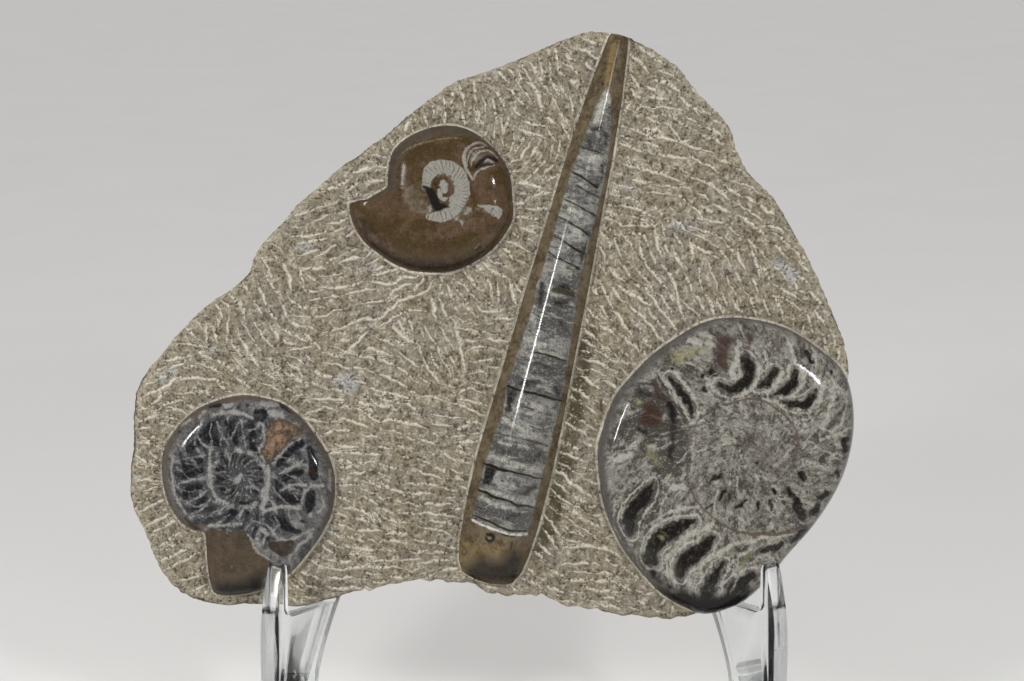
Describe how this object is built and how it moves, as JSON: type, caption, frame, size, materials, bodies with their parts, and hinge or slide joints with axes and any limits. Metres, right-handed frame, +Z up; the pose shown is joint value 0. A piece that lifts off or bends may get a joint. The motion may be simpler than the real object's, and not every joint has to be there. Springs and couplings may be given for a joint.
{
  "type": "orthoceras fossil plate on a stand",
  "caption": "Slab of chiselled limestone holding a polished orthoceras and polished coiled goniatites, standing in two clear acrylic arms on a flat clear base.",
  "frame": {"origin": "On the underside of the stand's base, level with the table, midway across the slab.", "axes": "+X to the right as the carved face is seen, +Y away from the viewer, +Z up. The carved face looks along -Y and leans back by 13 degrees."},
  "size_m": [0.2897, 0.124, 0.3057],
  "materials": {
    "limestone": "rough grey-tan limestone covered with pale chisel strokes, broken edges, sawn back",
    "banded_calcite": "high polish, grey and white chambers between dark walls, tan sheath",
    "grey_calcite": "high polish, cream bands and dark chambers",
    "brown_calcite": "high polish, warm brown with a white ribbed coil",
    "dark_calcite": "high polish, dark blue-grey chambers between pale walls",
    "clear_acrylic": "clear cast sheet, polished faces and frosted sawn edges"
  },
  "bodies": {
    "root": {"matrix_slab": "limestone", "orthoceras": "banded_calcite", "large_goniatite": "grey_calcite", "brown_goniatite": "brown_calcite", "small_goniatite": "dark_calcite", "stand_base": "clear_acrylic", "stand_arm_left": "clear_acrylic", "stand_arm_right": "clear_acrylic"}
  },
  "joints": []
}
